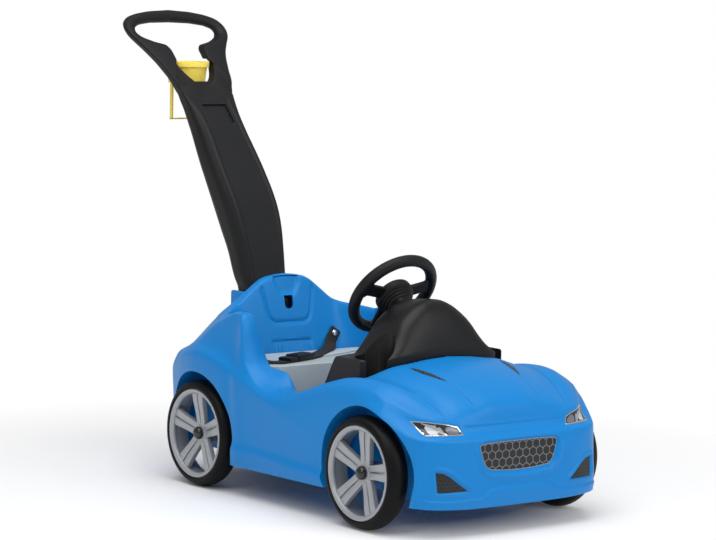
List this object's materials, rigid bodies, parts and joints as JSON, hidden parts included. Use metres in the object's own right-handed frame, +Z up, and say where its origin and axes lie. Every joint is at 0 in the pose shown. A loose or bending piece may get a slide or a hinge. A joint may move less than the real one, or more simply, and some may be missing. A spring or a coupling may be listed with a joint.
{
  "type": "kids ride-on car",
  "caption": "Foot-to-floor ride-on car for a small child, with a moulded body, steering wheel, lap belt and a folding push handle with a cup holder.",
  "frame": {"origin": "on the floor, at the middle of the whole length and width, handle included", "axes": "+Y towards the rear of the car, +X towards its left side, +Z up; the bonnet faces -Y"},
  "size_m": [0.5024, 1.2044, 0.925],
  "materials": {
    "body_blue": "glossy moulded blue polyethylene",
    "black_plastic": "satin black moulded plastic",
    "black_gloss": "glossy black plastic",
    "tyre_plastic": "blow-moulded black plastic with a dull surface",
    "rim_silver": "silver-grey plastic with a satin sheen",
    "grey_plastic": "dark grey acetal, smooth",
    "horn_grey": "dark grey plastic, satin",
    "steel": "zinc-plated steel",
    "webbing": "woven black polypropylene webbing",
    "lamp_silver": "silver printed lamp panel with a clear gloss face",
    "trim_black": "black printed trim panel, satin",
    "seat_grey": "light grey moulded seat, satin",
    "holder_yellow": "bright yellow moulded plastic, satin"
  },
  "bodies": {
    "car": {"body_shell": "body_blue", "grille": "trim_black", "headlight_left": "lamp_silver", "headlight_right": "lamp_silver", "fog_panel_left": "trim_black", "fog_panel_right": "trim_black", "hood_vent_left": "trim_black", "hood_vent_right": "trim_black", "belt_strap_left": "webbing", "belt_strap_right": "webbing", "belt_screw_left": "steel", "belt_screw_right": "steel", "belt_buckle": "black_plastic", "belt_tongue": "black_plastic", "front_axle": "steel", "rear_axle": "steel", "handle_pin": "steel", "dash_console": "black_plastic", "seat_pan": "seat_grey", "hub_cap_front_left": "black_gloss", "hub_cap_front_right": "black_gloss", "hub_cap_rear_left": "black_gloss", "hub_cap_rear_right": "black_gloss"},
    "wheel_front_left": {"tyre_front_left": "tyre_plastic", "rim_front_left": "rim_silver", "wheel_bush_front_left": "grey_plastic"},
    "wheel_front_right": {"tyre_front_right": "tyre_plastic", "rim_front_right": "rim_silver", "wheel_bush_front_right": "grey_plastic"},
    "wheel_rear_left": {"tyre_rear_left": "tyre_plastic", "rim_rear_left": "rim_silver", "wheel_bush_rear_left": "grey_plastic"},
    "wheel_rear_right": {"tyre_rear_right": "tyre_plastic", "rim_rear_right": "rim_silver", "wheel_bush_rear_right": "grey_plastic"},
    "steering": {"steering_wheel": "black_plastic", "steering_shaft": "grey_plastic", "steering_clip": "steel"},
    "horn": {"horn_button": "horn_grey"},
    "handle": {"push_handle": "black_plastic", "parent_cup_holder": "holder_yellow"},
    "latch": {"handle_latch": "black_plastic"}
  },
  "joints": [
    {"name": "wheel_front_left_spin", "type": "hinge", "parent": "car", "child": "wheel_front_left", "pos_m": [0.222, -0.43665, 0.1045], "axis": [1, 0, 0], "continuous": true},
    {"name": "wheel_front_right_spin", "type": "hinge", "parent": "car", "child": "wheel_front_right", "pos_m": [-0.222, -0.43665, 0.1045], "axis": [1, 0, 0], "continuous": true},
    {"name": "wheel_rear_left_spin", "type": "hinge", "parent": "car", "child": "wheel_rear_left", "pos_m": [0.222, 0.08675, 0.1045], "axis": [1, 0, 0], "continuous": true},
    {"name": "wheel_rear_right_spin", "type": "hinge", "parent": "car", "child": "wheel_rear_right", "pos_m": [-0.222, 0.08675, 0.1045], "axis": [1, 0, 0], "continuous": true},
    {"name": "steering_spin", "type": "hinge", "parent": "car", "child": "steering", "pos_m": [0, -0.21425, 0.396], "axis": [0, 0.807, 0.5906], "continuous": true},
    {"name": "horn_press", "type": "slide", "parent": "steering", "child": "horn", "axis": [0, -0.807, -0.5906], "range_m": [0, 0.004], "stiffness_N_per_m": 900, "springref_m": -0.001},
    {"name": "handle_fold", "type": "hinge", "parent": "car", "child": "handle", "pos_m": [0, 0.20275, 0.2], "axis": [-1, 0, 0], "range_deg": [0, 62]},
    {"name": "latch_press", "type": "slide", "parent": "car", "child": "latch", "axis": [0, 1, 0], "range_m": [0, 0.005], "stiffness_N_per_m": 500, "springref_m": -0.001}
  ]
}
